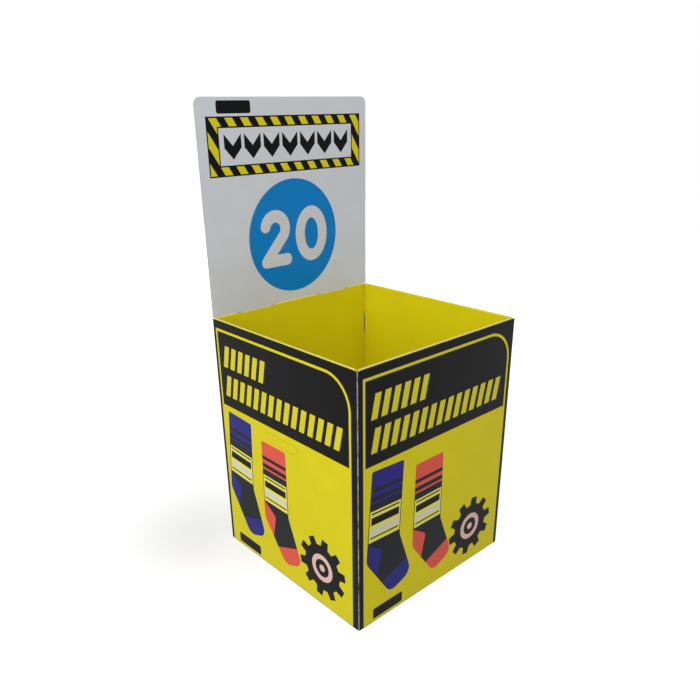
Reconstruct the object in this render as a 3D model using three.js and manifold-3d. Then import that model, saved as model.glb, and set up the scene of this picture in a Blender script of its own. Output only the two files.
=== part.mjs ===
// A square floor-standing dump bin of corrugated board, with a header card standing in its
// back wall. Millimetres, +Z up. The origin is the middle of the footprint, on the floor.
// The front is -Y, the header stands along +Y.
//
// The body is one sheet: four outer walls, a rim that rolls over each of them, an inner panel
// that hangs from each rim, and four flanges folded in under the bin. A false floor with
// turned-down edges rests on four crossed boards inside, and these stand on a base pad.

import * as THREE from 'three';
import { mergeVertices } from 'three/addons/utils/BufferGeometryUtils.js';
import Module from 'manifold-3d';

const wasm = await Module();
wasm.setup();

// Overall sizes
const WIDTH = 550;
const DEPTH = 550;
const WALL_HEIGHT = 675;
const OVERALL_HEIGHT = 1200;

// Board and folds
const BOARD = 2.5;
const CLEARANCE = 0.3;
const EDGE_FOLD_RADIUS = 3.5;
const RIM_FOLD_RADIUS = 3;
const ARC_STEPS = 6;

// Walls
const RIM_CORNER_GAP = 9;
const RIM_NOTCH_DEPTH = 14;
const PANEL_CORNER_GAP = 0.3;
const RELIEF_WIDTH = 2;
const RELIEF_BOTTOM = 520;
const RELIEF_TOP = 581;
const FLANGE_DEPTH = 120;

// False floor, its supports and the pad that they stand on
const FLOOR_HEIGHT = 360;
const TRAY_FLANGE = 60;
const SUPPORT_OFFSET = 125;
const SUPPORT_END_GAP = 2;
const PAD_GAP = 1.5;

// Hand holes in the side walls
const HAND_WIDTH = 124;
const HAND_FLAT = 76;
const HAND_DEPTH = 26;
const HAND_TOP = 421;
const HAND_STRAIGHT = 4;
const HAND_LEAN = 0.55;
const HAND_SWEEP = 0.66;
const HAND_KERF = 0.5;
const HAND_BACK_MARGIN = 5;
const HAND_BACK_RADIUS = 9;

// Header card and its slots
const HEADER_SIDE_GAP = 1;
const HEADER_CORNER_RADIUS = 18;
const TAB_OFFSET = 137;
const TAB_WIDTH = 100;
const TAB_DEPTH = 90;
const TAB_CHAMFER = 14;
const SLOT_DROP = 3.5;
const SLOT_SLANT = 16;
const SLOT_GAP = 0.6;

// Sizes that follow from these
const CAVITY = BOARD + 2 * CLEARANCE;
const RIM_WIDTH = 2 * BOARD + CAVITY;
const PANEL_BOTTOM = FLOOR_HEIGHT + CLEARANCE;
const CARD_INSET = BOARD + CLEARANCE;
const TRAY_INSET = BOARD + CLEARANCE;
const OVERCUT = 1;
const WELD_DISTANCE = 1e-4;
const TURN_ROUNDING = 1e-9;

const PRINTED_YELLOW = 0xdcd22c;
const WHITE_BOARD = 0xe9e9e6;
const KRAFT_BOARD = 0xc6a67a;

const X = new THREE.Vector3(1, 0, 0);
const Y = new THREE.Vector3(0, 1, 0);
const Z = new THREE.Vector3(0, 0, 1);

// Each side's outward direction is +Y turned by its angle about Z.
const SIDES = [
  { name: 'back', angle: 0, reach: DEPTH / 2, half: WIDTH / 2 },
  { name: 'left', angle: Math.PI / 2, reach: WIDTH / 2, half: DEPTH / 2 },
  { name: 'front', angle: Math.PI, reach: DEPTH / 2, half: WIDTH / 2 },
  { name: 'right', angle: -Math.PI / 2, reach: WIDTH / 2, half: DEPTH / 2 },
];

// Turns a geometry into a solid that can be joined and cut.
function solidOf(geometry) {
  const bare = geometry.clone();
  bare.deleteAttribute('normal');
  bare.deleteAttribute('uv');
  const merged = mergeVertices(bare, WELD_DISTANCE);
  const mesh = new wasm.Mesh({
    numProp: 3,
    vertProperties: new Float32Array(merged.attributes.position.array),
    triVerts: new Uint32Array(merged.index.array),
  });
  return new wasm.Manifold(mesh);
}

// Turns a solid back into a named mesh with its own material.
function meshOf(solid, name, color, roughness) {
  const data = solid.getMesh();
  const geometry = new THREE.BufferGeometry();
  geometry.setAttribute('position', new THREE.BufferAttribute(new Float32Array(data.vertProperties), 3));
  geometry.setIndex(new THREE.BufferAttribute(new Uint32Array(data.triVerts), 1));
  geometry.computeVertexNormals();
  const material = new THREE.MeshStandardMaterial({ color, roughness, metalness: 0 });
  const mesh = new THREE.Mesh(geometry, material);
  mesh.name = name;
  return mesh;
}

// Joins a list of solids.
function joined(solids) {
  return solids.reduce((sum, solid) => sum.add(solid));
}

// Cuts a list of solids from one.
function cut(solid, tools) {
  return tools.reduce((rest, tool) => rest.subtract(tool), solid);
}

// A block between two corners.
function block(low, high) {
  const size = new THREE.Vector3().subVectors(high, low);
  const geometry = new THREE.BoxGeometry(size.x, size.y, size.z);
  geometry.translate((low.x + high.x) / 2, (low.y + high.y) / 2, (low.z + high.z) / 2);
  return solidOf(geometry);
}

// Extrudes a shape whose own x and y run along `across` and `up`, from `start` for `length`
// along the third direction.
function extruded(shape, across, up, start, length) {
  const along = new THREE.Vector3().crossVectors(across, up);
  const geometry = new THREE.ExtrudeGeometry(shape, {
    depth: length,
    bevelEnabled: false,
    curveSegments: ARC_STEPS,
  });
  geometry.translate(0, 0, start);
  geometry.applyMatrix4(new THREE.Matrix4().makeBasis(across, up, along));
  return solidOf(geometry);
}

// Turns a solid about Z, from the back side to another side.
function turned(solid, angle) {
  const turn = new THREE.Matrix4().makeRotationZ(angle);
  // Quarter turns are exact, so that faces that should meet do.
  turn.elements = turn.elements.map((value) => (Math.abs(value) < TURN_ROUNDING ? 0 : value));
  return solid.transform(turn.elements);
}

// A rectangle about the origin with rounded corners.
function roundedRectangle(halfX, halfY, radius) {
  const shape = new THREE.Shape();
  shape.moveTo(halfX, -halfY + radius);
  shape.lineTo(halfX, halfY - radius);
  shape.absarc(halfX - radius, halfY - radius, radius, 0, Math.PI / 2, false);
  shape.lineTo(-halfX + radius, halfY);
  shape.absarc(-halfX + radius, halfY - radius, radius, Math.PI / 2, Math.PI, false);
  shape.lineTo(-halfX, -halfY + radius);
  shape.absarc(-halfX + radius, -halfY + radius, radius, Math.PI, 1.5 * Math.PI, false);
  shape.lineTo(halfX - radius, -halfY);
  shape.absarc(halfX - radius, -halfY + radius, radius, 1.5 * Math.PI, 2 * Math.PI, false);
  return shape;
}

// The four outer walls, folded round the corners, up to where the rims start to roll over.
function outerWalls() {
  const top = WALL_HEIGHT - RIM_FOLD_RADIUS;
  const outside = roundedRectangle(WIDTH / 2, DEPTH / 2, EDGE_FOLD_RADIUS);
  const inside = roundedRectangle(WIDTH / 2 - BOARD, DEPTH / 2 - BOARD, EDGE_FOLD_RADIUS - BOARD);
  const tube = extruded(outside, X, Y, 0, top);
  return tube.subtract(extruded(inside, X, Y, -OVERCUT, top + 2 * OVERCUT));
}

// The section of a rim and its inner panel, seen along the wall: x is the distance from the
// middle of the bin, y the height.
function rimSection(reach) {
  const small = RIM_FOLD_RADIUS - BOARD;
  const bend = WALL_HEIGHT - RIM_FOLD_RADIUS;
  const outerBend = reach - RIM_FOLD_RADIUS;
  const innerBend = reach - RIM_WIDTH + RIM_FOLD_RADIUS;
  const legBottom = bend - RIM_NOTCH_DEPTH;
  const shape = new THREE.Shape();
  shape.moveTo(reach, legBottom);
  shape.lineTo(reach, bend);
  shape.absarc(outerBend, bend, RIM_FOLD_RADIUS, 0, Math.PI / 2, false);
  shape.lineTo(innerBend, WALL_HEIGHT);
  shape.absarc(innerBend, bend, RIM_FOLD_RADIUS, Math.PI / 2, Math.PI, false);
  shape.lineTo(reach - RIM_WIDTH, PANEL_BOTTOM);
  shape.lineTo(reach - RIM_WIDTH + BOARD, PANEL_BOTTOM);
  shape.lineTo(reach - RIM_WIDTH + BOARD, bend);
  shape.absarc(innerBend, bend, small, Math.PI, Math.PI / 2, true);
  shape.lineTo(outerBend, WALL_HEIGHT - BOARD);
  shape.absarc(outerBend, bend, small, Math.PI / 2, 0, true);
  shape.lineTo(reach - BOARD, legBottom);
  return shape;
}

// A rim with its inner panel. The rim stops short of the corners, and a short relief slit
// opens the hairline gap between neighbouring panels.
function rimAndPanel(side) {
  const panelEnd = side.half - RIM_WIDTH - PANEL_CORNER_GAP;
  const rimEnd = side.half - RIM_CORNER_GAP;
  const solid = extruded(rimSection(side.reach), Y, Z, -panelEnd, 2 * panelEnd);
  const inner = side.reach - RIM_WIDTH - OVERCUT;
  const outer = side.reach + OVERCUT;
  const tools = [];
  for (const sign of [-1, 1]) {
    const rimEnds = [sign * rimEnd, sign * (panelEnd + OVERCUT)].sort((a, b) => a - b);
    const slitEnds = [sign * (panelEnd - RELIEF_WIDTH), sign * (panelEnd + OVERCUT)].sort((a, b) => a - b);
    tools.push(
      block(
        new THREE.Vector3(rimEnds[0], inner, WALL_HEIGHT - RIM_NOTCH_DEPTH),
        new THREE.Vector3(rimEnds[1], outer, WALL_HEIGHT + OVERCUT),
      ),
      block(
        new THREE.Vector3(slitEnds[0], inner, RELIEF_BOTTOM),
        new THREE.Vector3(slitEnds[1], outer, RELIEF_TOP),
      ),
    );
  }
  return turned(cut(solid, tools), side.angle);
}

// A flange folded in under the bin, mitred so that the four of them close up.
function baseFlange(side) {
  const start = side.reach - BOARD / 2;
  const end = side.reach - FLANGE_DEPTH;
  const halfStart = side.half - EDGE_FOLD_RADIUS - RIM_CORNER_GAP;
  const halfEnd = halfStart - (start - end);
  const shape = new THREE.Shape();
  shape.moveTo(-halfEnd, end);
  shape.lineTo(halfEnd, end);
  shape.lineTo(halfStart, start);
  shape.lineTo(-halfStart, start);
  return turned(extruded(shape, X, Y, 0, BOARD), side.angle);
}

// The outline of a hand flap in its wall: x along the wall, y the height. `inset` draws it
// smaller on every side. The lean and sweep are the shares by which its two shoulders curve.
function handOutline(inset) {
  const half = HAND_WIDTH / 2 - inset;
  const flat = HAND_FLAT / 2;
  const top = HAND_TOP - inset;
  const bottom = HAND_TOP - HAND_DEPTH + inset;
  const shoulder = HAND_TOP - HAND_STRAIGHT;
  const lean = shoulder - HAND_LEAN * (shoulder - bottom);
  const sweep = flat + HAND_SWEEP * (half - flat);
  const shape = new THREE.Shape();
  shape.moveTo(half, top);
  shape.lineTo(-half, top);
  shape.lineTo(-half, shoulder);
  shape.bezierCurveTo(-half, lean, -sweep, bottom, -flat, bottom);
  shape.lineTo(flat, bottom);
  shape.bezierCurveTo(sweep, bottom, half, lean, half, shoulder);
  return shape;
}

// The hand hole through an outer wall, and the plain opening behind it in the inner panel.
function handHoleTools(side) {
  const wall = side.reach - BOARD - CLEARANCE / 2;
  const hole = extruded(handOutline(0), X, Z, -(side.reach + OVERCUT), BOARD + CLEARANCE / 2 + OVERCUT);
  const behind = roundedRectangle(
    HAND_WIDTH / 2 + HAND_BACK_MARGIN,
    HAND_DEPTH / 2 + HAND_BACK_MARGIN,
    HAND_BACK_RADIUS,
  );
  const opening = extruded(behind, X, Z, -wall, RIM_WIDTH - BOARD + OVERCUT);
  const raised = opening.translate([0, 0, HAND_TOP - HAND_DEPTH / 2]);
  return [turned(hole, side.angle), turned(raised, side.angle)];
}

// A flap that fills a hand hole, hinged along its top edge.
function handFlap(side) {
  const flap = extruded(handOutline(HAND_KERF), X, Z, -side.reach, BOARD);
  return turned(flap, side.angle);
}

// A slot for one tab of the header, through the back rim and the top of its inner panel.
function headerSlot(centre) {
  const half = TAB_WIDTH / 2 + SLOT_GAP;
  const bottom = WALL_HEIGHT - SLOT_DROP;
  const overshoot = SLOT_SLANT * (OVERCUT / SLOT_DROP);
  const shape = new THREE.Shape();
  shape.moveTo(centre - half, bottom);
  shape.lineTo(centre + half, bottom);
  shape.lineTo(centre + half + SLOT_SLANT + overshoot, WALL_HEIGHT + OVERCUT);
  shape.lineTo(centre - half - SLOT_SLANT - overshoot, WALL_HEIGHT + OVERCUT);
  const outer = DEPTH / 2 - BOARD;
  const inner = DEPTH / 2 - RIM_WIDTH - OVERCUT;
  return extruded(shape, X, Z, -outer, outer - inner);
}

// The whole body, folded from one sheet.
function bodyWrap() {
  const parts = [outerWalls()];
  for (const side of SIDES) {
    parts.push(rimAndPanel(side), baseFlange(side));
  }
  const tools = [headerSlot(-TAB_OFFSET), headerSlot(TAB_OFFSET)];
  for (const side of SIDES.filter((each) => each.name === 'left' || each.name === 'right')) {
    tools.push(...handHoleTools(side));
  }
  return cut(joined(parts), tools);
}

// The header card, with its tabs that drop into the back wall.
function headerCard() {
  const half = WIDTH / 2 - HEADER_SIDE_GAP;
  const r = HEADER_CORNER_RADIUS;
  const shape = new THREE.Shape();
  shape.moveTo(half, WALL_HEIGHT);
  shape.lineTo(half, OVERALL_HEIGHT - r);
  shape.absarc(half - r, OVERALL_HEIGHT - r, r, 0, Math.PI / 2, false);
  shape.lineTo(-half + r, OVERALL_HEIGHT);
  shape.absarc(-half + r, OVERALL_HEIGHT - r, r, Math.PI / 2, Math.PI, false);
  shape.lineTo(-half, WALL_HEIGHT);
  for (const centre of [-TAB_OFFSET, TAB_OFFSET]) {
    shape.lineTo(centre - TAB_WIDTH / 2, WALL_HEIGHT);
    shape.lineTo(centre - TAB_WIDTH / 2, WALL_HEIGHT - TAB_DEPTH + TAB_CHAMFER);
    shape.lineTo(centre - TAB_WIDTH / 2 + TAB_CHAMFER, WALL_HEIGHT - TAB_DEPTH);
    shape.lineTo(centre + TAB_WIDTH / 2 - TAB_CHAMFER, WALL_HEIGHT - TAB_DEPTH);
    shape.lineTo(centre + TAB_WIDTH / 2, WALL_HEIGHT - TAB_DEPTH + TAB_CHAMFER);
    shape.lineTo(centre + TAB_WIDTH / 2, WALL_HEIGHT);
  }
  return extruded(shape, X, Z, -(DEPTH / 2 - CARD_INSET), BOARD);
}

// One turned-down edge of the false floor, with its rounded fold.
function trayEdge(side) {
  const reach = side.reach - TRAY_INSET;
  const small = RIM_FOLD_RADIUS - BOARD;
  const bend = FLOOR_HEIGHT - RIM_FOLD_RADIUS;
  const fold = reach - RIM_FOLD_RADIUS;
  const half = side.half - TRAY_INSET - RIM_FOLD_RADIUS;
  const shape = new THREE.Shape();
  shape.moveTo(reach, FLOOR_HEIGHT - TRAY_FLANGE);
  shape.lineTo(reach, bend);
  shape.absarc(fold, bend, RIM_FOLD_RADIUS, 0, Math.PI / 2, false);
  shape.lineTo(fold - BOARD, FLOOR_HEIGHT);
  shape.lineTo(fold - BOARD, FLOOR_HEIGHT - BOARD);
  shape.lineTo(fold, FLOOR_HEIGHT - BOARD);
  shape.absarc(fold, bend, small, Math.PI / 2, 0, true);
  shape.lineTo(reach - BOARD, FLOOR_HEIGHT - TRAY_FLANGE);
  return turned(extruded(shape, Y, Z, -half, 2 * half), side.angle);
}

// The false floor that carries the goods.
function floorTray() {
  const halfX = WIDTH / 2 - TRAY_INSET - RIM_FOLD_RADIUS;
  const halfY = DEPTH / 2 - TRAY_INSET - RIM_FOLD_RADIUS;
  const plate = block(
    new THREE.Vector3(-halfX, -halfY, FLOOR_HEIGHT - BOARD),
    new THREE.Vector3(halfX, halfY, FLOOR_HEIGHT),
  );
  return joined([plate, ...SIDES.map(trayEdge)]);
}

// A flat sheet that locks the flanges down.
function basePad() {
  const halfX = WIDTH / 2 - BOARD - PAD_GAP;
  const halfY = DEPTH / 2 - BOARD - PAD_GAP;
  return block(new THREE.Vector3(-halfX, -halfY, BOARD), new THREE.Vector3(halfX, halfY, 2 * BOARD));
}

// A board on edge under the false floor. Its two slots open upwards or downwards and take the
// boards that cross it.
function supportOutline(half, slotsOpenUp) {
  const bottom = 2 * BOARD;
  const top = FLOOR_HEIGHT - BOARD;
  const middle = (bottom + top) / 2;
  const slotEnd = slotsOpenUp ? middle - CLEARANCE / 2 : middle + CLEARANCE / 2;
  const slotHalf = BOARD / 2 + CLEARANCE;
  const open = slotsOpenUp ? top : bottom;
  const closed = slotsOpenUp ? bottom : top;
  const points = [[-half, closed], [-half, open]];
  for (const centre of [-SUPPORT_OFFSET, SUPPORT_OFFSET]) {
    points.push(
      [centre - slotHalf, open],
      [centre - slotHalf, slotEnd],
      [centre + slotHalf, slotEnd],
      [centre + slotHalf, open],
    );
  }
  points.push([half, open], [half, closed]);
  return new THREE.Shape(points.map(([x, y]) => new THREE.Vector2(x, y)));
}

// A support that runs from side to side, at a distance from the middle.
function crossSupport(offset) {
  const half = WIDTH / 2 - TRAY_INSET - BOARD - SUPPORT_END_GAP;
  return extruded(supportOutline(half, true), X, Z, -(offset + BOARD / 2), BOARD);
}

// A support that runs from front to back, at a distance from the middle.
function longSupport(offset) {
  const half = DEPTH / 2 - TRAY_INSET - BOARD - SUPPORT_END_GAP;
  return extruded(supportOutline(half, false), Y, Z, offset - BOARD / 2, BOARD);
}

const left = SIDES.find((side) => side.name === 'left');
const right = SIDES.find((side) => side.name === 'right');

const bin = new THREE.Group();
bin.name = 'dump_bin';
bin.add(meshOf(bodyWrap(), 'body_wrap', PRINTED_YELLOW, 0.3));
bin.add(meshOf(handFlap(left), 'hand_flap_left', PRINTED_YELLOW, 0.3));
bin.add(meshOf(handFlap(right), 'hand_flap_right', PRINTED_YELLOW, 0.3));
bin.add(meshOf(headerCard(), 'header_card', WHITE_BOARD, 0.3));
bin.add(meshOf(floorTray(), 'floor_tray', WHITE_BOARD, 0.7));
bin.add(meshOf(crossSupport(-SUPPORT_OFFSET), 'cross_support_front', KRAFT_BOARD, 0.8));
bin.add(meshOf(crossSupport(SUPPORT_OFFSET), 'cross_support_back', KRAFT_BOARD, 0.8));
bin.add(meshOf(longSupport(-SUPPORT_OFFSET), 'long_support_left', KRAFT_BOARD, 0.8));
bin.add(meshOf(longSupport(SUPPORT_OFFSET), 'long_support_right', KRAFT_BOARD, 0.8));
bin.add(meshOf(basePad(), 'base_pad', KRAFT_BOARD, 0.8));

export default bin;
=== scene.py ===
"""Dresses a floor-standing dump bin of folded corrugated board.

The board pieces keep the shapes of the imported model. This script gives them their printed,
film-laminated and raw finishes, lays the print on the walls and the header as thin fields of
ink, and builds the header card with its real liners and fluting.
"""

import logging
import math
from dataclasses import dataclass
from enum import Enum
from functools import cache
from typing import Any

import bmesh
import bpy
from mathutils import Matrix, Vector


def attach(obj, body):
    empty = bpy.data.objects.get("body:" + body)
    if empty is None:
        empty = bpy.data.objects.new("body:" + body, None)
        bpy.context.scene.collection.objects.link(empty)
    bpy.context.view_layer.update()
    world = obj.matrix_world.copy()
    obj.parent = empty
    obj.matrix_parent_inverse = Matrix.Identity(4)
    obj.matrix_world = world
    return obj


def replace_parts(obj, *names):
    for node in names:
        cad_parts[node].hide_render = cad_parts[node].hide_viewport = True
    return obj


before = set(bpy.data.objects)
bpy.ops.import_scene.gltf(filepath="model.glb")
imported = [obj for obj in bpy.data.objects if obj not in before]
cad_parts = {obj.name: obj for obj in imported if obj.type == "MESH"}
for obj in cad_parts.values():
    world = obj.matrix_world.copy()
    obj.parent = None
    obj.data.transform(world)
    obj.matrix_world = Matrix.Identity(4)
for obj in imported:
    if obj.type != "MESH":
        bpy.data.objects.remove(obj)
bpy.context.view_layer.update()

LOG = logging.getLogger("dump_bin")

BOARD_SLOT = "printed_board"
HEADER_SLOT = "header_board"
BIN_BODY = "bin"

# Drawings are in millimetres and finishes in metres.
MM = 0.001
HALF_WIDTH = 275.0
BOARD = 2.5
FLUTE_PITCH = 6.4
INK_THICKNESS = 0.04
PRINT_DEPTH = 0.2
CARD_FILM = 0.5
JOINT_CHORD_DEGREES = 12

Point = tuple[float, float]
Spot = tuple[float, float, float]
Outline = list[Point]
Tree = bpy.types.NodeTree
Socket = bpy.types.NodeSocket
Material = bpy.types.Material
Mesh = bpy.types.Mesh
Piece = bpy.types.Object


class Ink(Enum):
    """The colours of the board's print and raw faces, and of its painted highlights and shade, as sRGB hex
    values.
    """

    YELLOW = "E8DA16"
    BLACK = "0A0A0C"
    WHITE = "DCDFE4"
    CARD = "DBDFE6"
    BLUE = "0C86D5"
    CHARCOAL = "1E2226"
    NAVY = "2A2A86"
    CORAL = "EC5F50"
    BLUSH = "F0C9BF"
    # A pale cream for the rims' tops: a painted highlight, with some ink cracking.
    RIM_HIGHLIGHT = "EFE6B4"
    # Pale grey for the folds: a painted highlight.
    FOLD_HIGHLIGHT = "CDCCC8"
    PAPER = "F3EC6E"
    KRAFT = "B48F62"
    # Dark brown for the flute channels in a cut edge: painted shade.
    CHANNEL_SHADE = "6E573C"
    LINER = "E3E1DB"


def linear(ink: Ink, dim: float = 0.0) -> tuple[float, float, float, float]:
    """Turns an ink's sRGB hex value into linear light.

    Args:
        ink: The colour as written.
        dim: The share of its light that is taken away.

    Returns:
        Linear red, green, blue and an alpha of one.
    """
    channels = [int(ink.value[i:i + 2], 16) / 255 for i in (0, 2, 4)]
    light = [c / 12.92 if c <= 0.04045 else ((c + 0.055) / 1.055) ** 2.4 for c in channels]
    return (*(c * (1 - dim) for c in light), 1.0)


def add_node(tree: Tree, kind: str, links: dict | None = None, **settings: Any) -> bpy.types.Node:
    """Adds one node to a tree.

    Args:
        tree: The shader or geometry tree.
        kind: The node's Blender type name.
        links: Input name or number to a value, or to the output socket that feeds it.
        **settings: Properties set on the node itself.

    Returns:
        The new node.
    """
    node = tree.nodes.new(kind)
    for name, value in settings.items():
        setattr(node, name, value)
    for key, value in (links or {}).items():
        if isinstance(value, Socket):
            tree.links.new(value, node.inputs[key])
        else:
            node.inputs[key].default_value = value
    return node


def calc(tree: Tree, operation: str, *values: Any) -> Socket:
    """Adds one Math node.

    Args:
        tree: The shader or geometry tree.
        operation: What it works out.
        *values: Its inputs in order, as numbers or sockets.

    Returns:
        Its result.
    """
    return add_node(tree, "ShaderNodeMath", dict(enumerate(values)), operation=operation).outputs[0]


def ramp(tree: Tree, value: Socket, start: float, end: float, low: float = 0.0, high: float = 1.0) -> Socket:
    """Adds a result that runs from low to high while the value runs from start to end."""
    return add_node(tree, "ShaderNodeMapRange", {
        "Value": value, "From Min": start, "From Max": end, "To Min": low, "To Max": high,
    }).outputs[0]


def blend(tree: Tree, share: Socket, start: Any, end: Any) -> Socket:
    """Adds a colour that goes from start to end as the share goes from nought to one."""
    return add_node(tree, "ShaderNodeMix", {0: share, 6: start, 7: end}, data_type="RGBA").outputs[2]


def noise(tree: Tree, place: Socket, size: float, detail: float) -> Socket:
    """Adds a noise about a half, with spots of about the given size in metres."""
    spots = {"Vector": place, "Scale": 1 / size, "Detail": detail}
    return add_node(tree, "ShaderNodeTexNoise", spots).outputs[0]


def split(tree: Tree, place: Socket) -> list[Socket]:
    """Adds the three coordinates of a place."""
    return list(add_node(tree, "ShaderNodeSeparateXYZ", {0: place}).outputs)


def flute_wave(tree: Tree, place: Socket) -> Socket:
    """Adds the sine of the flutes. Every wall lies along X or Y, so x + y runs along any of them."""
    x, y, _ = split(tree, place)
    turns = calc(tree, "MULTIPLY", calc(tree, "ADD", x, y), 2 * math.pi / (FLUTE_PITCH * MM))
    return calc(tree, "SINE", turns)


def wall_insets(tree: Tree, place: Socket) -> list[Socket]:
    """Adds how far a place lies inside the nearer side wall, and inside the nearer end wall."""
    away = [calc(tree, "ABSOLUTE", coordinate) for coordinate in split(tree, place)[:2]]
    return [calc(tree, "SUBTRACT", HALF_WIDTH * MM, each) for each in away]


def new_material(name: str) -> tuple[Material, Tree, Socket]:
    """Starts a material, and returns it with its empty tree and the object coordinates there."""
    made = bpy.data.materials.new(name)
    made.use_nodes = True
    tree = made.node_tree
    tree.nodes.clear()
    return made, tree, add_node(tree, "ShaderNodeTexCoord").outputs["Object"]


def shade(tree: Tree, inputs: dict[str, Any]) -> None:
    """Ends a material with one Principled shader that has the given inputs."""
    shader = add_node(tree, "ShaderNodeBsdfPrincipled", inputs)
    add_node(tree, "ShaderNodeOutputMaterial", {0: shader.outputs[0]})


@dataclass(frozen=True)
class BoardSurface:
    """What any sheet of this board shows close up: flutes under the liner, fibres and clouding.

    The flutes run upright, with the pitch of B flute.
    """

    flute_depth: float = 0.012 * MM
    grain_size: float = 0.9 * MM
    grain_detail: float = 2.0
    grain_depth: float = 0.006 * MM
    cloud_size: float = 70 * MM
    cloud_detail: float = 3.0

    def normal(self, tree: Tree, place: Socket) -> Socket:
        """Adds the normal of a surface with the relief of flutes and fibres."""
        flutes = calc(tree, "MULTIPLY", flute_wave(tree, place), self.flute_depth)
        grain = noise(tree, place, self.grain_size, self.grain_detail)
        height = calc(tree, "MULTIPLY_ADD", grain, self.grain_depth, flutes)
        bump = {"Height": height, "Distance": 1.0, "Strength": 1.0}
        return add_node(tree, "ShaderNodeBump", bump).outputs[0]

    def clouded(self, tree: Tree, place: Socket, ink: Ink, dim: float) -> Socket:
        """Adds an ink that is dimmed in slow clouds, by up to the given share."""
        clouds = noise(tree, place, self.cloud_size, self.cloud_detail)
        return blend(tree, clouds, linear(ink, dim), linear(ink))


@dataclass(frozen=True)
class PrintedFilm:
    """Offset ink under a thin gloss film: an even colour with a soft sheen and faint flutes."""

    ink: Ink
    roughness: float = 0.34
    specular: float = 0.03
    film: float = 0.1
    film_roughness: float = 0.14
    clouding: float = 0.1
    surface: BoardSurface = BoardSurface()

    def colour(self, tree: Tree, place: Socket) -> Socket:
        """Adds the ink's colour."""
        return self.surface.clouded(tree, place, self.ink, self.clouding)

    def material(self) -> Material:
        """Builds the material, named for the ink."""
        made, tree, place = new_material(f"film_laminated_{self.ink.name.lower()}_ink")
        shade(tree, {
            "Base Color": self.colour(tree, place),
            "Normal": self.surface.normal(tree, place),
            "Roughness": self.roughness,
            "Specular IOR Level": self.specular,
            "Coat Weight": self.film,
            "Coat Roughness": self.film_roughness,
        })
        return made


@dataclass(frozen=True)
class WrapFilm(PrintedFilm):
    """The folded wrap: black outside and yellow within, with painted highlights along every fold and on the
    rims' tops.

    The regions are told apart by how far a place lies inside the wrap's outer faces.
    """

    ink: Ink = Ink.YELLOW
    wall_height: float = 675 * MM
    outside_reach: float = 1.4 * MM
    cavity_start: float = 2.3 * MM
    cavity_end: float = 5.8 * MM
    rim_start: float = 1.6 * MM
    rim_highlight_share: float = 0.42
    crease_from: float = 3.0 * MM
    crease_to: float = 2.4 * MM
    fold_highlight_strength: float = 0.85
    highlight_break_length: float = 22 * MM
    highlight_break_detail: float = 2.0
    highlight_break_range: Point = (0.25, 0.6)

    def colour(self, tree: Tree, place: Socket) -> Socket:
        """Adds the colours of the wrap's faces and unprinted side, and the painted highlights on its folds
        and on the rims' tops.
        """
        side, end = wall_insets(tree, place)
        depth = calc(tree, "MINIMUM", side, end)
        below = calc(tree, "SUBTRACT", self.wall_height, split(tree, place)[2])
        under_rim = calc(tree, "GREATER_THAN", below, self.rim_start)
        black = calc(tree, "MULTIPLY", calc(tree, "LESS_THAN", depth, self.outside_reach), under_rim)
        past_wall = calc(tree, "GREATER_THAN", depth, self.cavity_start)
        before_panel = calc(tree, "LESS_THAN", depth, self.cavity_end)
        raw = calc(tree, "MULTIPLY", calc(tree, "MULTIPLY", past_wall, before_panel), under_rim)
        # The tops of the rims are blended toward cream: a painted highlight of the light from above, with
        # some ink cracking.
        rim_highlight = ramp(tree, below, self.rim_start, 0.0, high=self.rim_highlight_share)
        # A pale line along each corner fold, broken up by noise like ink cracking: a painted highlight.
        near_fold = calc(tree, "ADD", side, end)
        fold_highlight_band = ramp(tree, near_fold, self.crease_from, self.crease_to, high=self.fold_highlight_strength)
        highlight_breaks = ramp(tree, noise(tree, place, self.highlight_break_length, self.highlight_break_detail), *self.highlight_break_range)
        fold_highlight = calc(tree, "MULTIPLY", fold_highlight_band, highlight_breaks)
        result = super().colour(tree, place)
        for mask, ink in ((rim_highlight, Ink.RIM_HIGHLIGHT), (black, Ink.BLACK), (raw, Ink.LINER), (fold_highlight, Ink.FOLD_HIGHLIGHT)):
            result = blend(tree, mask, result, linear(ink))
        return result

    def material(self) -> Material:
        """Builds the wrap's material under its own name."""
        made = super().material()
        made.name = "film_laminated_wrap"
        return made


@dataclass(frozen=True)
class RawBoard:
    """Unprinted corrugated board: matt, fibrous, with specks in the liner and flutes showing."""

    name: str
    ink: Ink
    roughness: float = 0.85
    specular: float = 0.2
    speck_size: float = 1.6 * MM
    speck_detail: float = 5.0
    speck_strength: float = 0.1
    surface: BoardSurface = BoardSurface(flute_depth=0.03 * MM, grain_depth=0.02 * MM)

    def material(self) -> Material:
        """Builds the material, with the name given."""
        made, tree, place = new_material(self.name)
        specks = noise(tree, place, self.speck_size, self.speck_detail)
        liner = self.surface.clouded(tree, place, self.ink, self.speck_strength)
        shade(tree, {
            "Base Color": blend(tree, specks, linear(self.ink, self.speck_strength), liner),
            "Normal": self.surface.normal(tree, place),
            "Roughness": self.roughness,
            "Specular IOR Level": self.specular,
        })
        return made


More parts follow.
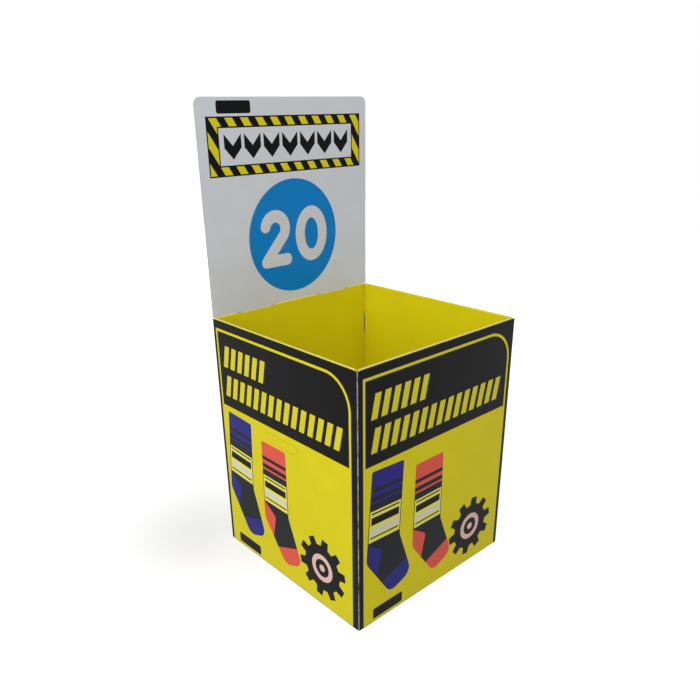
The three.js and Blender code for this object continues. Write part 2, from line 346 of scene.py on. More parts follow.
@dataclass(frozen=True)
class CutEdge:
    """A cut across the board: two pale liners with the brown flutes waving in the hollow between them,
    whose channels are painted dark as their shade.

    The outer walls and the inner panels are stacked one step apart, so that their depth repeats.
    """

    stack_step: float = 5.6 * MM
    liner: float = 0.32 * MM
    flute_line: float = 0.17 * MM
    roughness: float = 0.9
    specular: float = 0.1

    def material(self) -> Material:
        """Builds the material."""
        made, tree, place = new_material("cut_corrugated_edge")
        half_board = BOARD * MM / 2
        inset = calc(tree, "MINIMUM", *wall_insets(tree, place))
        depth = calc(tree, "SUBTRACT", calc(tree, "MODULO", inset, self.stack_step), half_board)
        swing = half_board - self.liner - self.flute_line
        wave = calc(tree, "MULTIPLY", flute_wave(tree, place), swing)
        flute = calc(tree, "COMPARE", depth, wave, self.flute_line)
        hollow = calc(tree, "COMPARE", depth, 0.0, half_board - self.liner)
        # The channels between the flutes are dark brown: painted shade.
        inside = blend(tree, flute, linear(Ink.CHANNEL_SHADE), linear(Ink.KRAFT))
        shade(tree, {
            "Base Color": blend(tree, hollow, linear(Ink.LINER), inside),
            "Roughness": self.roughness,
            "Specular IOR Level": self.specular,
        })
        return made


Finish = PrintedFilm | RawBoard | CutEdge


@cache
def material_of(finish: Finish) -> Material:
    """Returns the material of a finish, built at its first use."""
    return finish.material()


def turn_point(centre: Point, radius: float, degrees: float) -> Point:
    """Returns the point on a circle at an angle from the right, counter-clockwise."""
    angle = math.radians(degrees)
    return (centre[0] + radius * math.cos(angle), centre[1] + radius * math.sin(angle))


def arc(centre: Point, radius: float, start: float, end: float, steps: int) -> Outline:
    """Samples an arc.

    Args:
        centre: The arc's centre.
        radius: Its radius.
        start: First angle in degrees.
        end: Last angle in degrees.
        steps: Number of chords.

    Returns:
        steps + 1 points.
    """
    return [turn_point(centre, radius, start + (end - start) * i / steps) for i in range(steps + 1)]


def circle(centre: Point, radius: float, steps: int) -> Outline:
    """Samples a whole circle, counter-clockwise from its right."""
    return arc(centre, radius, 0, 360, steps)[:-1]


def rectangle(low: Point, high: Point) -> Outline:
    """Returns the four corners of an upright rectangle, counter-clockwise."""
    return [low, (high[0], low[1]), high, (low[0], high[1])]


def filleted(corners: list[Spot], steps: int = 10) -> Outline:
    """Rounds the corners of a polygon.

    Args:
        corners: x, y and fillet radius of each corner, counter-clockwise.
        steps: Chords in each fillet.

    Returns:
        The rounded outline.
    """
    points: Outline = []
    for i, (x, y, radius) in enumerate(corners):
        if radius <= 0:
            points.append((x, y))
            continue
        corner = Vector((x, y))
        before = (Vector(corners[i - 1][:2]) - corner).normalized()
        after = (Vector(corners[(i + 1) % len(corners)][:2]) - corner).normalized()
        half_angle = before.angle(after) / 2
        centre = corner + (before + after).normalized() * (radius / math.sin(half_angle))
        first = corner + before * (radius / math.tan(half_angle)) - centre
        last = corner + after * (radius / math.tan(half_angle)) - centre
        sweep = first.angle_signed(last)
        for k in range(steps + 1):
            spot = centre + Matrix.Rotation(-sweep * k / steps, 2) @ first
            points.append((spot.x, spot.y))
    return points


def rounded(corners: Outline, radii: tuple[float, ...], steps: int = 10) -> Outline:
    """Rounds each corner of an outline with its own radius, in the given number of chords."""
    return filleted([(*corner, radius) for corner, radius in zip(corners, radii)], steps)


def stroke(line: Outline, width: float, cap_steps: int = 12) -> Outline:
    """Gives a line a width, with round joints and round ends.

    Args:
        line: The centreline.
        width: The stroke's full width.
        cap_steps: Chords in each round end.

    Returns:
        The closed outline.
    """
    half = width / 2
    headings = [math.degrees(math.atan2(b[1] - a[1], b[0] - a[0])) for a, b in zip(line, line[1:])]
    left: Outline = []
    right: Outline = []
    for spot, one, two in zip(line[1:-1], headings, headings[1:]):
        bend = (two - one + 180) % 360 - 180
        inner_reach = half / math.cos(math.radians(bend / 2))
        steps = max(1, round(abs(bend) / JOINT_CHORD_DEGREES))
        if bend > 0:
            left.append(turn_point(spot, inner_reach, one + bend / 2 + 90))
            right += arc(spot, half, one - 90, one - 90 + bend, steps)
        else:
            left += arc(spot, half, one + 90, one + 90 + bend, steps)
            right.append(turn_point(spot, inner_reach, one + bend / 2 - 90))
    end_cap = arc(line[-1], half, headings[-1] - 90, headings[-1] + 90, cap_steps)
    start_cap = arc(line[0], half, headings[0] + 90, headings[0] + 270, cap_steps)
    return right + end_cap + left[::-1] + start_cap


def clipped(polygon: Outline, low: Point, high: Point) -> Outline:
    """Keeps what of a convex polygon lies in an upright rectangle.

    Args:
        polygon: A convex outline.
        low: The rectangle's lowest corner.
        high: Its highest corner.

    Returns:
        The clipped outline, or an empty list.
    """
    result = polygon
    for axis, bound, sign in ((0, low[0], 1), (0, high[0], -1), (1, low[1], 1), (1, high[1], -1)):
        kept: Outline = []
        for i, here in enumerate(result):
            last = result[i - 1]
            now = sign * (here[axis] - bound)
            then = sign * (last[axis] - bound)
            if (now >= 0) != (then >= 0):
                share = then / (then - now)
                kept.append(tuple(last[k] + share * (here[k] - last[k]) for k in (0, 1)))
            if now >= 0:
                kept.append(here)
        result = kept
    return result


@dataclass(frozen=True)
class Sheet:
    """A flat printed face. A place on it is u mm from its left edge and v mm above the floor."""

    name: str
    corner: Point
    across: Spot
    inset: float = 0.0

    def place(self, lift: float) -> Matrix:
        """Returns the matrix that lays a drawing in millimetres on the sheet, lift mm proud of it."""
        across = Vector(self.across)
        up = Vector((0, 0, 1))
        out = across.cross(up)
        origin = Vector((*self.corner, 0)) + out * (lift - self.inset)
        turn = Matrix((across, up, out)).transposed().to_4x4()
        return Matrix.Scale(MM, 4) @ Matrix.Translation(origin) @ turn


def placed(name: str, data: bpy.types.ID) -> Piece:
    """Puts a new object of the given data into the scene."""
    made = bpy.data.objects.new(name, data)
    bpy.context.scene.collection.objects.link(made)
    return made


def make_piece(
    name: str, mesh: Mesh, finishes: list[Finish], body: str = BIN_BODY
) -> Piece:
    """Makes a piece of a finished mesh, fixes it to its body, and reports it.

    Args:
        name: The piece's name.
        mesh: Its mesh, in place.
        finishes: The finish of each of the mesh's material slots.
        body: The body that it moves with.

    Returns:
        The piece.
    """
    mesh.name = name
    mesh.materials.clear()
    for finish in finishes:
        mesh.materials.append(material_of(finish))
    piece = placed(name, mesh)
    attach(piece, body)
    LOG.info("%s: %d faces on %s", name, len(mesh.polygons), body)
    return piece


def cleaned(mesh: Mesh, merge: float = 1e-7) -> Mesh:
    """Merges a mesh's doubled corners and turns its faces outwards, in place."""
    work = bmesh.new()
    work.from_mesh(mesh)
    bmesh.ops.remove_doubles(work, verts=work.verts, dist=merge)
    bmesh.ops.recalc_face_normals(work, faces=work.faces)
    work.to_mesh(mesh)
    work.free()
    return mesh


def baked(source: Piece) -> Mesh:
    """Turns a curve or a modified object into a plain mesh, and removes the object."""
    ready = source.evaluated_get(bpy.context.evaluated_depsgraph_get())
    mesh = bpy.data.meshes.new_from_object(ready)
    bpy.data.objects.remove(source)
    return mesh


@dataclass
class InkField:
    """One ink laid on a sheet in one pass: a set of outlines, filled, as a thin closed layer."""

    name: str
    sheet: Sheet
    ink: Ink
    layer: int
    outlines: list[Outline]
    thickness: float = INK_THICKNESS
    film: float = PrintedFilm.film

    def build(self, slot: str) -> Piece:
        """Builds the field and lays it in place.

        Args:
            slot: The record's material slot, which is not used.

        Returns:
            The piece.
        """
        curve = bpy.data.curves.new(self.name, "CURVE")
        curve.dimensions = "2D"
        curve.fill_mode = "BOTH"
        curve.extrude = self.thickness / 2
        for outline in self.outlines:
            spline = curve.splines.new("POLY")
            spline.points.add(len(outline) - 1)
            spline.points.foreach_set("co", [c for u, v in outline for c in (u, v, 0.0, 1.0)])
            spline.use_cyclic_u = True
        mesh = baked(placed(self.name + "_curve", curve))
        mesh.transform(self.sheet.place((self.layer - 0.5) * self.thickness))
        return make_piece(self.name, cleaned(mesh), [PrintedFilm(self.ink, film=self.film)])


@dataclass
class InkRow:
    """A row of like marks in one ink, repeated by Geometry Nodes.

    Each mark is a bar. slant leans it to the right as it rises, and peak lifts its two ends, so
    that a bar becomes a chevron.
    """

    name: str
    sheet: Sheet
    ink: Ink
    first: Point
    count: int
    pitch: float
    bar: Point
    slant: float = 0.0
    peak: float = 0.0

    def _tree(self) -> bpy.types.GeometryNodeTree:
        """Builds the node group, with named inputs for its sizes."""
        tree = bpy.data.node_groups.new("ink_row", "GeometryNodeTree")
        sizes = ("Pitch", "Bar Width", "Bar Height", "Thickness", "Slant", "Peak")
        kinds = {"Count": "Int", **dict.fromkeys(sizes, "Float"), "Ink": "Material"}
        for name, kind in kinds.items():
            tree.interface.new_socket(name, in_out="INPUT", socket_type="NodeSocket" + kind)
        tree.interface.new_socket("Geometry", in_out="OUTPUT", socket_type="NodeSocketGeometry")
        given = add_node(tree, "NodeGroupInput").outputs

        def step(kind: str, links: dict | None = None) -> Socket:
            """Adds one node and returns its first output."""
            return add_node(tree, kind, links).outputs[0]

        sides = {0: given["Bar Width"], 1: given["Bar Height"], 2: given["Thickness"]}
        bar = step("GeometryNodeMeshCube", {"Size": step("ShaderNodeCombineXYZ", sides), "Vertices X": 3})
        x, y, _ = split(tree, step("GeometryNodeInputPosition"))
        lean = calc(tree, "MULTIPLY", y, given["Slant"])
        rise = calc(tree, "MULTIPLY", calc(tree, "ABSOLUTE", x), given["Peak"])
        shift = step("ShaderNodeCombineXYZ", {0: lean, 1: rise})
        mark = step("GeometryNodeSetPosition", {"Geometry": bar, "Offset": shift})
        gap = step("ShaderNodeCombineXYZ", {0: given["Pitch"]})
        line = step("GeometryNodeMeshLine", {"Count": given["Count"], "Offset": gap})
        row = step("GeometryNodeInstanceOnPoints", {"Points": line, "Instance": mark})
        real = step("GeometryNodeRealizeInstances", {0: row})
        inked = step("GeometryNodeSetMaterial", {"Geometry": real, "Material": given["Ink"]})
        add_node(tree, "NodeGroupOutput", {0: inked})
        return tree

    def build(self, slot: str) -> None:
        """Runs the node group, bakes its result to a plain mesh and lays it in place.

        Args:
            slot: The record's material slot, which is not used.
        """
        carrier = placed(self.name + "_row", bpy.data.meshes.new(self.name + "_row"))
        modifier = carrier.modifiers.new("row", "NODES")
        modifier.node_group = self._tree()
        finish = PrintedFilm(self.ink)
        values = {
            "Count": self.count, "Pitch": self.pitch, "Bar Width": self.bar[0], "Bar Height": self.bar[1],
            "Thickness": INK_THICKNESS, "Slant": self.slant, "Peak": self.peak, "Ink": material_of(finish),
        }
        for item in modifier.node_group.interface.items_tree:
            if item.in_out == "INPUT":
                modifier[item.identifier] = values[item.name]
        mesh = baked(carrier)
        mesh.transform(self.sheet.place(INK_THICKNESS / 2) @ Matrix.Translation((*self.first, 0)))
        make_piece(self.name, cleaned(mesh), [finish])


@dataclass
class GarmentPicture:
    """A plain picture of one ribbed sock, cuff up, drawn about its ankle in millimetres."""

    name: str
    ankle: Point
    tilt: float
    accent: Ink
    size: float = 1.0
    half_leg: float = 52.0
    top: float = 188.0
    top_radius: float = 5.0
    cuff: float = 44.0
    heel: Point = (-58.0, -52.0)
    heel_radius: float = 34.0
    inner_heel: Spot = (-6.0, -32.0, 16.0)
    ball: Point = (30.0, -172.0)
    toe: Point = (104.0, -140.0)
    toe_radius: float = 29.0
    instep: Point = (52.0, -10.0)
    instep_radius: float = 46.0
    toe_share: float = 0.37
    heel_share: float = 0.42
    stripes: tuple[Point, ...] = ((122.0, 134.0), (104.0, 110.0))
    paper: Point = (0.0, 88.0)
    paper_edge: float = 2.5
    rules: tuple[Point, ...] = ((12.0, 16.0), (48.0, 68.0), (76.0, 80.0))
    rule_trim: float = 7.5
    strip: Point = (24.0, 36.0)

    def _laid(self, outline: Outline) -> Outline:
        """Turns an outline about the ankle and moves it to its place."""
        angle = math.radians(self.tilt)
        cos, sin = math.cos(angle) * self.size, math.sin(angle) * self.size
        return [(self.ankle[0] + x * cos - y * sin, self.ankle[1] + x * sin + y * cos) for x, y in outline]

    def _between(self, start: Point, end: Point, share: float) -> Point:
        """Returns the point a share of the way from start to end."""
        return (start[0] + share * (end[0] - start[0]), start[1] + share * (end[1] - start[1]))

    def _across(self, span: Point, trim: float = 0.0) -> Outline:
        """Returns the part of the leg between two heights, trimmed at its two sides."""
        run = self.top - self.heel[1]
        back = [self._between((-self.half_leg, self.top), self.heel, (self.top - v) / run) for v in span]
        front = [(self.half_leg - trim, v) for v in span]
        return [(x + trim, y) for x, y in reversed(back)] + front

    def fields(self, sheet: Sheet) -> list[InkField]:
        """Draws the sock.

        Args:
            sheet: The face that it is printed on.

        Returns:
            Its fields of ink, from the lowest layer up.
        """
        heel, ball = (*self.heel, self.heel_radius), (*self.ball, self.toe_radius)
        toe, instep = (*self.toe, self.toe_radius), (*self.instep, self.instep_radius)
        body = [
            (-self.half_leg, self.top, self.top_radius), heel, ball, toe, instep,
            (self.half_leg, self.top, self.top_radius),
        ]
        toe_patch = [
            (*self._between(self.ball, self.heel, self.toe_share), 0), ball, toe,
            (*self._between(self.toe, self.instep, self.toe_share), 0),
        ]
        heel_patch = [
            (*self._across((0.0, self.top))[1], 0), heel,
            (*self._between(self.heel, self.ball, self.heel_share), 0), self.inner_heel,
        ]
        radii = (self.top_radius, 0.0, 0.0, self.top_radius)
        cuff = rounded(self._across((self.top - self.cuff, self.top)), radii)
        edge = self.paper_edge
        paper = self._across((self.paper[0] + edge, self.paper[1] - edge), edge)
        stripes = [self._across(span) for span in self.stripes]
        parts = (
            ("body", Ink.CHARCOAL, 2, [filleted(body)]),
            ("accents", self.accent, 3, [filleted(toe_patch), filleted(heel_patch), cuff, *stripes]),
            ("paper_edge", Ink.BLACK, 3, [self._across(self.paper)]),
            ("paper_band", Ink.PAPER, 4, [paper]),
            ("band_rules", Ink.BLACK, 5, [self._across(span, self.rule_trim) for span in self.rules]),
            ("band_strip", Ink.WHITE, 5, [self._across(self.strip, edge)]),
        )
        return [
            InkField(f"{self.name}_{part}", sheet, ink, layer, [self._laid(outline) for outline in outlines])
            for part, ink, layer, outlines in parts
        ]


@dataclass(frozen=True)
class HandFlapOutline:
    """The cut round a hand flap, in the middle of a wall, in millimetres."""

    width: float = 124.0
    flat: float = 76.0
    depth: float = 26.0
    top: float = 421.0
    straight: float = 4.0
    lean: float = 0.55
    sweep: float = 0.66
    steps: int = 12

    def on_wall(self) -> Outline:
        """Returns the outline, centred on the wall, counter-clockwise."""
        half, flat = self.width / 2, self.flat / 2
        bottom, shoulder = self.top - self.depth, self.top - self.straight
        low_handle = flat + self.sweep * (half - flat)
        high_handle = shoulder - self.lean * (shoulder - bottom)
        right = []
        for i in range(self.steps + 1):
            t = i / self.steps
            weights = ((1 - t) ** 3, 3 * t * (1 - t) ** 2, 3 * t * t * (1 - t), t ** 3)
            x = sum(w * c for w, c in zip(weights, (flat, low_handle, half, half)))
            y = sum(w * c for w, c in zip(weights, (bottom, bottom, high_handle, shoulder)))
            right.append((x, y))
        right.append((half, self.top))
        outline = right + [(-x, y) for x, y in reversed(right)]
        return [(HALF_WIDTH + x, y) for x, y in outline]


@dataclass
class WallPrint:
    """The print on one wall: a yellow field, a framed black band above it and plain motifs."""

    sheet: Sheet
    left: float
    right: float
    hand_hole: bool
    field_bottom: float = 1.5
    field_top: float = 438.0
    frame_top: float = 651.5
    frame_line: float = 6.8
    frame_radius: float = 82.0
    frame_steps: int = 24
    bar: Point = (19.0, 60.0)
    bar_pitch: float = 31.0
    bar_slant: float = 0.22
    title_rows: tuple[tuple[float, int], ...] = ((580.0, 6), (498.0, 15))
    title_start: float = 40.0
    cog_centre: Point = (417.0, 113.0)
    cog_teeth: int = 10
    cog_reach: float = 87.0
    cog_root: float = 66.0
    tooth_phase: float = 0.25
    tooth_foot: float = 0.32
    tooth_tip: float = 0.2
    ring_radii: Spot = (39.0, 25.0, 10.0)
    ring_steps: int = 48
    tag_low: Point = (32.0, 9.0)
    tag_high: Point = (135.0, 39.0)
    tag_radius: float = 5.0
    navy_sock: Spot = (70.0, 232.0, -3.0)
    coral_sock: Spot = (224.0, 206.0, 0.0)
    coral_size: float = 0.96

    def _frame(self) -> list[Outline]:
        """Returns the yellow field joined to its frame line, and the black band as a hole in it."""
        outlines = []
        for line, bottom in ((0.0, self.field_bottom), (self.frame_line, self.field_top)):
            corners = rectangle((self.left + line, bottom), (self.right - line, self.frame_top - line))
            outlines.append(rounded(corners, (0, 0, self.frame_radius - line, 0), self.frame_steps))
        return outlines

    def _cog(self) -> Outline:
        """Returns a toothed wheel with tapered teeth."""
        points: Outline = []
        pitch = 360 / self.cog_teeth
        root, reach, foot, tip = self.cog_root, self.cog_reach, self.tooth_foot, self.tooth_tip
        for i in range(self.cog_teeth):
            middle = (i + self.tooth_phase) * pitch
            for radius, share in ((root, -foot), (reach, -tip), (reach, tip), (root, foot)):
                points.append(turn_point(self.cog_centre, radius, middle + share * pitch))
        return points

    def _tag(self) -> Outline:
        """Returns the bare tag at the foot of the wall."""
        low, high = ((self.left + u, v) for u, v in (self.tag_low, self.tag_high))
        return rounded(rectangle(low, high), (self.tag_radius,) * 4)

    def build(self) -> None:
        """Builds every field of ink on this wall."""
        name = self.sheet.name
        yellow = self._frame()
        if self.hand_hole:
            yellow.append(HandFlapOutline().on_wall())
        ring = [circle(self.cog_centre, radius, self.ring_steps) for radius in self.ring_radii]
        fields = [
            InkField(f"{name}_yellow_field", self.sheet, Ink.YELLOW, 1, yellow),
            InkField(f"{name}_cog_and_tag", self.sheet, Ink.BLACK, 2, [self._cog(), self._tag()]),
            InkField(f"{name}_cog_ring", self.sheet, Ink.BLUSH, 3, ring),
        ]
        for ink, (u, v, tilt), size in (
            (Ink.NAVY, self.navy_sock, 1.0), (Ink.CORAL, self.coral_sock, self.coral_size),
        ):
            sock = GarmentPicture(f"{name}_{ink.name.lower()}_sock", (self.left + u, v), tilt, ink, size)
            fields += sock.fields(self.sheet)
        for each in fields:
            each.build(BOARD_SLOT)
        for row, (height, count) in enumerate(self.title_rows, 1):
            first = (self.left + self.title_start, height)
            InkRow(
                f"{name}_title_bars_{row}", self.sheet, Ink.YELLOW, first, count, self.bar_pitch, self.bar,
                self.bar_slant,
            ).build(BOARD_SLOT)


@dataclass
class HeaderPrint:
    """The print on the header: a hazard-striped frame, a disc with a plain number and a tag.

    The frame and its window are measured downwards from the header's top, the rest from the floor.
    """

    sheet: Sheet
    top: float = 1200.0
    frame_low: Point = (27.5, 181.0)
    frame_high: Point = (525.0, 43.0)
    window_low: Point = (61.0, 155.0)
    window_high: Point = (492.5, 69.0)
    border: float = 3.4
    stripe_pitch: float = 45.2
    stripe_width: float = 22.5
    stripe_lean: float = 0.63
    stripe_phase: float = -3.6
    disc_centre: Point = (279.0, 851.0)
    disc_radius: float = 150.5
    disc_steps: int = 120
    numeral_stroke: float = 32.0
    two_centre: Point = (-64.0, 26.0)
    two_radius: float = 33.0
    two_arc: tuple[float, float, int] = (165, -36, 18)
    two_foot: tuple[Point, Point] = ((-98.0, -59.0), (-28.0, -59.0))
    nought_centre: float = 60.0
    nought_radii: Point = (40.0, 59.0)
    nought_steps: int = 56
    tag_low: Point = (59.0, 1163.0)
    tag_high: Point = (158.0, 1192.0)
    tag_radius: float = 5.5
    chevrons: int = 7
    chevron_pitch: float = 59.0
    chevron_bar: Point = (50.0, 32.0)
    chevron_peak: float = 1.1
    chevron_drop: float = 14.0

    def _stripes(self) -> list[Outline]:
        """Returns the yellow stripes, cut to the four arms of the frame."""
        edge = self.border
        left, right = self.frame_low[0] + edge, self.frame_high[0] - edge
        top, bottom = self.frame_high[1] + edge, self.frame_low[1] - edge
        window_top, window_bottom = self.window_high[1] - edge, self.window_low[1] + edge
        arms = [
            ((left, top), (right, window_top)),
            ((left, window_bottom), (right, bottom)),
            ((left, window_top), (self.window_low[0] - edge, window_bottom)),
            ((self.window_high[0] + edge, window_top), (right, window_bottom)),
        ]
        ends = ((top, 0.0), (top, self.stripe_width), (bottom, self.stripe_width), (bottom, 0.0))
        pieces = []
        start = left - self.stripe_lean * bottom
        count = int((right - start) / self.stripe_pitch) + 1
        for i in range(count):
            foot = start + self.stripe_phase + i * self.stripe_pitch
            band = [(foot + self.stripe_lean * down + side, down) for down, side in ends]
            for low, high in arms:
                part = clipped(band, low, high)
                if len(part) > 2:
                    pieces.append([(u, self.top - down) for u, down in part])
        return pieces

    def _numerals(self) -> list[Outline]:
        """Returns the outlines of a rounded number: a two, and a nought with its hole."""
        u, v = self.disc_centre
        bow = arc((u + self.two_centre[0], v + self.two_centre[1]), self.two_radius, *self.two_arc)
        two = stroke(bow + [(u + x, v + y) for x, y in self.two_foot], self.numeral_stroke)
        nought = []
        for grow in (self.numeral_stroke / 2, -self.numeral_stroke / 2):
            wide, high = (radius + grow for radius in self.nought_radii)
            ring = circle((0, 0), 1, self.nought_steps)
            nought.append([(u + self.nought_centre + x * wide, v + y * high) for x, y in ring])
        return [two, *nought]

    def build(self) -> None:
        """Builds every field of ink on the header."""
        outer, window = (
            rectangle((low[0], self.top - low[1]), (high[0], self.top - high[1]))
            for low, high in ((self.frame_low, self.frame_high), (self.window_low, self.window_high))
        )
        tag = rounded(rectangle(self.tag_low, self.tag_high), (self.tag_radius,) * 4)
        disc = circle(self.disc_centre, self.disc_radius, self.disc_steps)
        for part, ink, layer, outlines in (
            ("frame_and_tag", Ink.BLACK, 1, [outer, window, tag]),
            ("hazard_stripes", Ink.YELLOW, 2, self._stripes()),
            ("disc", Ink.BLUE, 1, [disc]),
            ("number", Ink.WHITE, 2, self._numerals()),
        ):
            InkField(f"header_{part}", self.sheet, ink, layer, outlines).build(HEADER_SLOT)
        middle = (self.window_low[0] + self.window_high[0]) / 2
        first = middle - self.chevron_pitch * (self.chevrons - 1) / 2
        height = self.top - (self.window_low[1] + self.window_high[1]) / 2 - self.chevron_drop
        InkRow(
            "header_chevrons", self.sheet, Ink.BLACK, (first, height), self.chevrons, self.chevron_pitch,
            self.chevron_bar, peak=self.chevron_peak,
        ).build(HEADER_SLOT)


@dataclass
class HeaderCard:
    """The header as it is made: two liners with a fluted sheet glued between them."""

    half: float = 274.0
    bottom: float = 675.0
    top: float = 1200.0
    radius: float = 18.0
    corner_steps: int = 14
    front: float = 269.7
    liner: float = 0.3
    medium: float = 0.22
    glue_gap: float = 0.02
    flute_inset: float = 0.5
    flute_steps: int = 10
    tab_offset: float = 137.0
    tab_width: float = 100.0
    tab_depth: float = 90.0
    tab_chamfer: float = 14.0

    def _outline(self) -> Outline:
        """Returns the card's outline from the front, in x and z, counter-clockwise."""
        half, low, cut = self.tab_width / 2, self.bottom - self.tab_depth, self.tab_chamfer
        side = [(half, self.bottom), (half, low + cut), (half - cut, low)]
        tab = [(-x, y) for x, y in side] + side[::-1]
        tabs = [(centre + x, y, 0) for centre in (-self.tab_offset, self.tab_offset) for x, y in tab]
        foot = [(-self.half, self.bottom, 0), *tabs, (self.half, self.bottom, 0)]
        head = [(x, self.top, self.radius) for x in (self.half, -self.half)]
        return filleted(foot + head, self.corner_steps)

    def _liner(self, name: str, near: float) -> Piece:
        """Builds one liner, with its front face the given distance behind the card's."""
        sheet = Sheet(name, (0.0, self.front + near), (1.0, 0.0, 0.0))
        return InkField(name, sheet, Ink.CARD, 0, [self._outline()], self.liner, CARD_FILM).build(HEADER_SLOT)

    def _span(self, x: float) -> Point:
        """Returns the lowest and highest points of the card at a distance from its middle."""
        past = max(abs(x) - (self.half - self.radius), 0)
        high = self.top - self.radius + math.sqrt(self.radius ** 2 - past ** 2)
        low = self.bottom
        off = abs(abs(x) - self.tab_offset) - self.tab_width / 2
        if off < 0:
            low += max(off + self.tab_chamfer, 0) - self.tab_depth
        return low, high

    def _fluting(self) -> None:
        """Builds the wavy sheet between the liners."""
        swing = (BOARD - 2 * self.liner - self.medium) / 2 - self.glue_gap
        reach = self.half - self.flute_inset
        columns = int(2 * reach / FLUTE_PITCH * self.flute_steps)
        work = bmesh.new()
        rows = []
        for i in range(columns + 1):
            x = -reach + 2 * reach * i / columns
            y = self.front + BOARD / 2 + swing * math.sin(2 * math.pi * x / FLUTE_PITCH)
            low, high = self._span(x)
            rows.append([
                work.verts.new((x * MM, (y + side * self.medium / 2) * MM, z * MM))
                for side, z in ((-1, low), (1, low), (1, high), (-1, high))
            ])
        for one, two in zip(rows, rows[1:]):
            for k in range(4):
                work.faces.new((one[k], one[(k + 1) % 4], two[(k + 1) % 4], two[k]))
        work.faces.new(rows[0][::-1])
        work.faces.new(rows[-1])
        bmesh.ops.recalc_face_normals(work, faces=work.faces)
        mesh = bpy.data.meshes.new("header_fluting")
        work.to_mesh(mesh)
        work.free()
        make_piece("header_fluting", mesh, [RawBoard("kraft_fluting", Ink.KRAFT)])

    def build(self) -> None:
        """Builds the card in place of its plain solid."""
        front = self._liner("header_front_liner", 0.0)
        self._liner("header_back_liner", BOARD - self.liner)
        self._fluting()
        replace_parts(front, "header_card")


@dataclass
class FlatPieces:
    """The unprinted boards inside, and the header's plain solid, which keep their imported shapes."""

    header: PrintedFilm = PrintedFilm(Ink.CARD, film=CARD_FILM)
    white: RawBoard = RawBoard("white_lined_board", Ink.LINER)
    kraft: RawBoard = RawBoard("kraft_lined_board", Ink.KRAFT)
    kraft_nodes: tuple[str, ...] = (
        "cross_support_front", "cross_support_back", "long_support_left", "long_support_right", "base_pad",
    )

    def dress(self) -> None:
        """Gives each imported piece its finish."""
        finishes = {"floor_tray": self.white, "header_card": self.header}
        finishes |= dict.fromkeys(self.kraft_nodes, self.kraft)
        for name, finish in finishes.items():
            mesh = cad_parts[name].data
            mesh.materials.clear()
            mesh.materials.append(material_of(finish))
            LOG.info("%s: dressed in %s", name, mesh.materials[0].name)


@dataclass
class PrintedPieces:
    """The wrap and its two hand flaps, with a finish for each kind of face.

    The wrap is drawn in by the depth of the print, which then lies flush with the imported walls.
    """

    wall_reach: float = 266.0
    fold_reach: float = 271.4
    rim_start: float = 672.2
    flange_top: float = 2.6
    flat_share: float = 0.3

    def _is_cut(self, face: bpy.types.MeshPolygon) -> bool:
        """Tells whether a face of the wrap is a cut across the board."""
        centre, normal = face.center / MM, face.normal
        size = (abs(centre.x), abs(centre.y))
        wall = 0 if size[0] > size[1] else 1
        if min(size) > self.fold_reach:
            return normal.z > 1 - self.flat_share
        if centre.z < self.flange_top and max(size) < self.fold_reach:
            return abs(normal.z) < self.flat_share
        if centre.z > self.rim_start:
            return abs(normal[1 - wall]) > 1 - self.flat_share
        return abs(normal[wall]) < self.flat_share and max(size) > self.wall_reach

    def _copy(self, node: str, share: float) -> Mesh:
        """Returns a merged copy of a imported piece's mesh, drawn in towards the middle."""
        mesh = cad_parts[node].data.copy()
        mesh.transform(Matrix.Diagonal((share, share, 1.0, 1.0)))
        return cleaned(mesh)

    def build(self) -> None:
        """Builds the wrap and the flaps in place of their plain solids."""
        wrap = self._copy("body_wrap", 1 - PRINT_DEPTH / HALF_WIDTH)
        wrap.polygons.foreach_set("material_index", [int(self._is_cut(face)) for face in wrap.polygons])
        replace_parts(make_piece("wrap_board", wrap, [WrapFilm(), CutEdge()]), "body_wrap")
        finishes = [PrintedFilm(Ink.YELLOW), CutEdge(), FlatPieces.white]
        for name, side in (("left", -1), ("right", 1)):
            flap = self._copy(f"hand_flap_{name}", 1.0)
            sides = [1 - round(side * face.normal.x) for face in flap.polygons]
            flap.polygons.foreach_set("material_index", sides)
            piece = make_piece(f"{name}_flap_board", flap, finishes, f"{name}_flap")
            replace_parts(piece, f"hand_flap_{name}")


@dataclass(frozen=True)
class Lamp:
    """One square soft lamp that faces the bin, in metres and watts."""

    name: str
    place: Spot
    size: float
    energy: float
    aim_height: float = 0.6

    def build(self) -> None:
        """Hangs the lamp in its place."""
        data = bpy.data.lights.new(self.name, "AREA")
        data.size = self.size
        data.energy = self.energy
        lamp = placed(self.name, data)
        lamp.location = self.place
        aim = Vector((0, 0, self.aim_height)) - Vector(self.place)
        lamp.rotation_euler = aim.to_track_quat("-Z", "Y").to_euler()


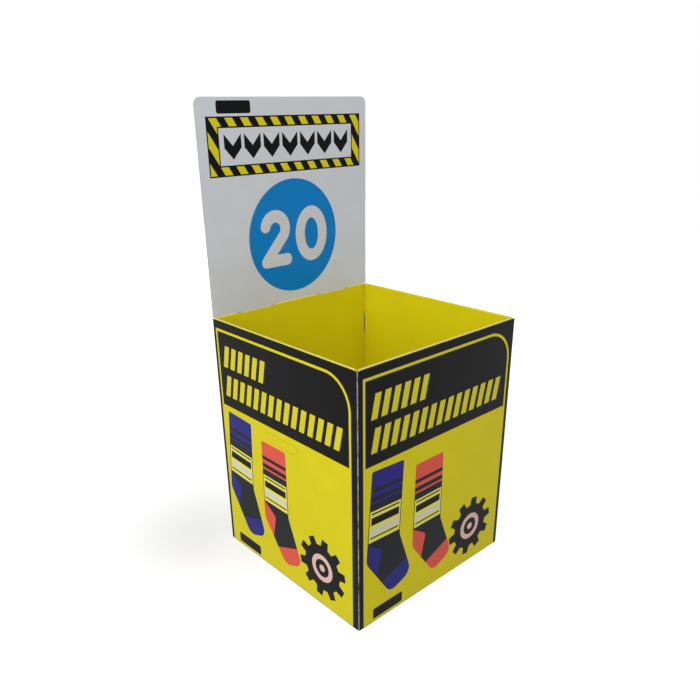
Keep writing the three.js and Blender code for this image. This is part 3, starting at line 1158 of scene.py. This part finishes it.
@dataclass
class Studio:
    """A pale floor, soft plain light and the camera, in metres.

    The floor shows white where no shadow falls. Its glow starts low behind the bin's left corner, a
    painted shadow there, which also keeps the real shadow in sight. Each gain has its start, its end
    and its size.
    """

    eye: Spot = (-1.1568, -1.2150, 1.1610)
    azimuth: float = -41.16
    elevation: float = 23.01
    roll: float = -1.17
    lens: float = 34.73
    shift: Point = (0.0206, 0.0701)
    floor_half: float = 6.0
    paper: float = 0.56
    painted_shadow_centre: Spot = (-0.36, 0.36, 0.0)
    glow: float = 0.46
    glow_gains: tuple[Spot, ...] = ((0.05, 0.36, 0.24), (0.9, 2.6, 0.25))
    ambient: float = 0.48
    key: Lamp = Lamp("key", (-3.2, -0.6, 2.2), 2.6, 70.0)
    fill: Lamp = Lamp("fill", (0.3, -2.2, 3.2), 2.2, 20.0)

    def _camera(self) -> None:
        """Places the camera as the photograph was taken."""
        az, el, roll = (math.radians(a) for a in (self.azimuth, self.elevation, self.roll))
        back = Vector((math.sin(az) * math.cos(el), -math.cos(az) * math.cos(el), math.sin(el)))
        right = Vector((math.cos(az), math.sin(az), 0))
        up = back.cross(right)
        rolled_right = right * math.cos(roll) + up * math.sin(roll)
        rolled_up = up * math.cos(roll) - right * math.sin(roll)
        data = bpy.data.cameras.new("camera")
        data.lens = self.lens
        data.shift_x, data.shift_y = self.shift
        camera = placed("camera", data)
        turn = Matrix((rolled_right, rolled_up, back)).transposed().to_4x4()
        camera.matrix_world = Matrix.Translation(self.eye) @ turn
        bpy.context.scene.camera = camera

    def _seen(self, tree: Tree) -> Socket:
        """Adds a value of one for what the camera sees, by itself or in a gloss or through glass."""
        rays = add_node(tree, "ShaderNodeLightPath").outputs
        seen = rays["Is Camera Ray"]
        for other in ("Is Glossy Ray", "Is Transmission Ray"):
            seen = calc(tree, "MAXIMUM", seen, rays[other])
        return seen

    def _floor(self) -> None:
        """Lays the floor."""
        made, tree, place = new_material("studio_paper")
        away = add_node(
            tree, "ShaderNodeVectorMath", {0: place, 1: self.painted_shadow_centre}, operation="DISTANCE"
        ).outputs["Value"]
        # The glow is lowest near the bin's left corner and gains further out: a painted shadow there, which
        # also lets the real shadow show.
        strength = self.glow
        for near, far, gain in self.glow_gains:
            strength = calc(tree, "ADD", strength, ramp(tree, away, near, far, high=gain))
        paper = add_node(tree, "ShaderNodeBsdfDiffuse", {"Color": (self.paper, self.paper, self.paper, 1)})
        glow = add_node(tree, "ShaderNodeEmission", {"Color": (1, 1, 1, 1), "Strength": strength})
        both = add_node(tree, "ShaderNodeAddShader", {0: paper.outputs[0], 1: glow.outputs[0]})
        seen = self._seen(tree)
        mix = add_node(tree, "ShaderNodeMixShader", {0: seen, 1: paper.outputs[0], 2: both.outputs[0]})
        add_node(tree, "ShaderNodeOutputMaterial", {0: mix.outputs[0]})
        mesh = bpy.data.meshes.new("floor")
        half = self.floor_half
        corners = [(x, y, 0) for x, y in rectangle((-half, -half), (half, half))]
        mesh.from_pydata(corners, [], [(0, 1, 2, 3)])
        mesh.materials.append(made)
        floor = placed("floor", mesh)

    def _world(self) -> None:
        """Sets an even surrounding light, which the camera sees as white."""
        world = bpy.data.worlds.new("studio")
        bpy.context.scene.world = world
        world.use_nodes = True
        tree = world.node_tree
        tree.nodes.clear()
        level = ramp(tree, self._seen(tree), 0.0, 1.0, self.ambient, 1.0)
        sky = add_node(tree, "ShaderNodeBackground", {"Color": (1, 1, 1, 1), "Strength": level})
        add_node(tree, "ShaderNodeOutputWorld", {0: sky.outputs[0]})

    def build(self) -> None:
        """Builds the camera, the light and the floor."""
        bpy.context.scene.view_settings.view_transform = "Standard"
        self._camera()
        self._world()
        self.key.build()
        self.fill.build()
        self._floor()


@dataclass
class WallPrints:
    """The four walls, each with the span of its printed frame from its left edge."""

    end_span: Point = (16.0, 535.5)
    side_span: Point = (12.8, 529.0)

    def build(self) -> None:
        """Prints the walls in turn, clockwise from the front as seen from above."""
        half = HALF_WIDTH
        for name, corner, across, span, hand_hole in (
            ("front", (-half, -half), (1.0, 0.0, 0.0), self.end_span, False),
            ("left", (-half, half), (0.0, -1.0, 0.0), self.side_span, True),
            ("back", (half, half), (-1.0, 0.0, 0.0), self.end_span, False),
            ("right", (half, -half), (0.0, 1.0, 0.0), self.side_span, True),
        ):
            WallPrint(Sheet(name, corner, across, PRINT_DEPTH), *span, hand_hole).build()


def main() -> None:
    """Builds the studio and dresses the bin, one sub-assembly after another."""
    logging.basicConfig(level=logging.INFO, format="%(name)s: %(message)s")
    Studio().build()
    FlatPieces().dress()
    PrintedPieces().build()
    HeaderCard().build()
    HeaderPrint(Sheet("header", (-HALF_WIDTH, HeaderCard.front), (1.0, 0.0, 0.0))).build()
    WallPrints().build()


if __name__ == "__main__":
    main()
